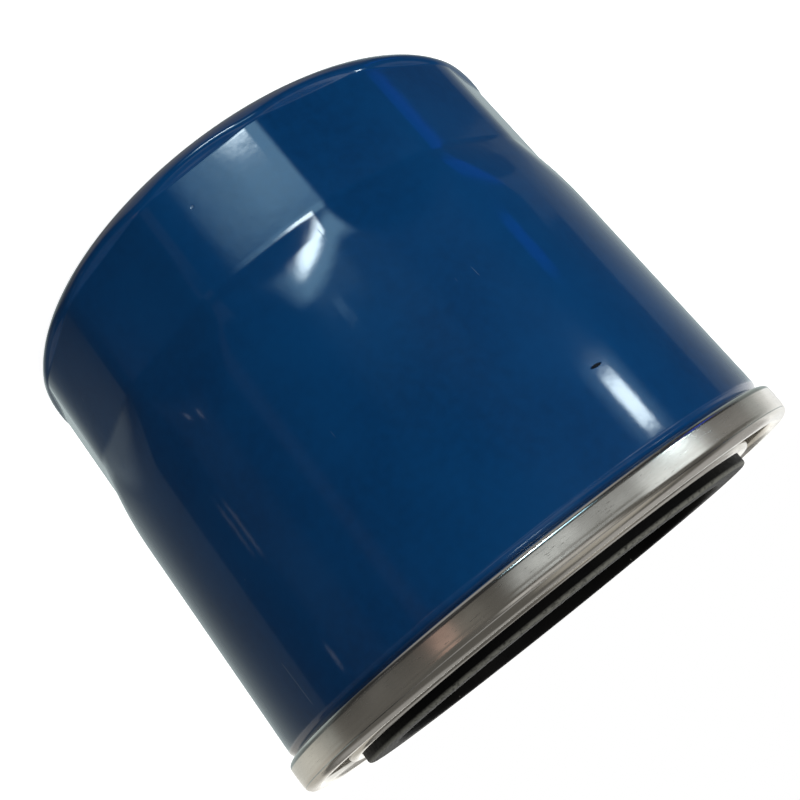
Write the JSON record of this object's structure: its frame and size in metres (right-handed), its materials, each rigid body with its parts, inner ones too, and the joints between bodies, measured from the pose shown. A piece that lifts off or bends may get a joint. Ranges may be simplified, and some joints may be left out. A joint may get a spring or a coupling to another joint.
{
  "type": "oil filter",
  "caption": "Spin-on engine oil filter: blue drawn can with wrench flats, rolled seam, rubber gasket, threaded plate, pleated element, bypass and anti-drain-back valves.",
  "frame": {"origin": "centre of the closed end, on the thread axis, on the plane the filter stands on", "axes": "+Z along the thread axis, out of the gasket end; one wrench flat faces -Y"},
  "size_m": [0.08, 0.08, 0.068],
  "materials": {
    "blue_paint": "glossy baked enamel",
    "tinplate": "bright tinplate, lightly scuffed",
    "black_rubber": "matte moulded rubber",
    "nitrile": "satin moulded rubber",
    "oiled_steel": "stamped steel, oiled",
    "spring_steel": "drawn wire, satin",
    "filter_paper": "resin-treated paper",
    "adhesive": "cured potting compound",
    "compound": "cured sealing compound",
    "valve_plastic": "glass-filled nylon"
  },
  "bodies": {
    "shell": {"outer_can": "blue_paint", "seam_compound": "compound", "seaming_lid": "tinplate", "sealing_gasket": "black_rubber", "tapping_plate": "oiled_steel", "drainback_hub": "nitrile", "support_spring": "spring_steel"},
    "element": {"inlet_end_cap": "tinplate", "inlet_potting_ring": "adhesive", "pleated_media": "filter_paper", "media_seam_clip": "tinplate", "centre_tube": "tinplate", "bypass_potting_ring": "adhesive", "bypass_end_cap": "tinplate", "bypass_seat": "tinplate", "bypass_cage": "tinplate", "bypass_spring": "spring_steel"},
    "bypass_valve": {"bypass_poppet": "valve_plastic", "bypass_seal_ring": "nitrile"},
    "drainback_valve": {"drainback_flap": "nitrile"}
  },
  "joints": [
    {"name": "element_float", "type": "slide", "parent": "shell", "child": "element", "axis": [0, 0, -1], "range_m": [0, 0.0015], "stiffness_N_per_m": 9000, "springref_m": -0.008, "deforming": ["support_spring"]},
    {"name": "bypass_open", "type": "slide", "parent": "element", "child": "bypass_valve", "axis": [0, 0, 1], "range_m": [0, 0.0025], "stiffness_N_per_m": 2500, "springref_m": -0.006, "deforming": ["bypass_spring"]},
    {"name": "drainback_open", "type": "slide", "parent": "shell", "child": "drainback_valve", "axis": [0, 0, -1], "range_m": [0, 0.0018], "stiffness_N_per_m": 60, "springref_m": -0.01, "deforming": ["drainback_flap"]}
  ]
}
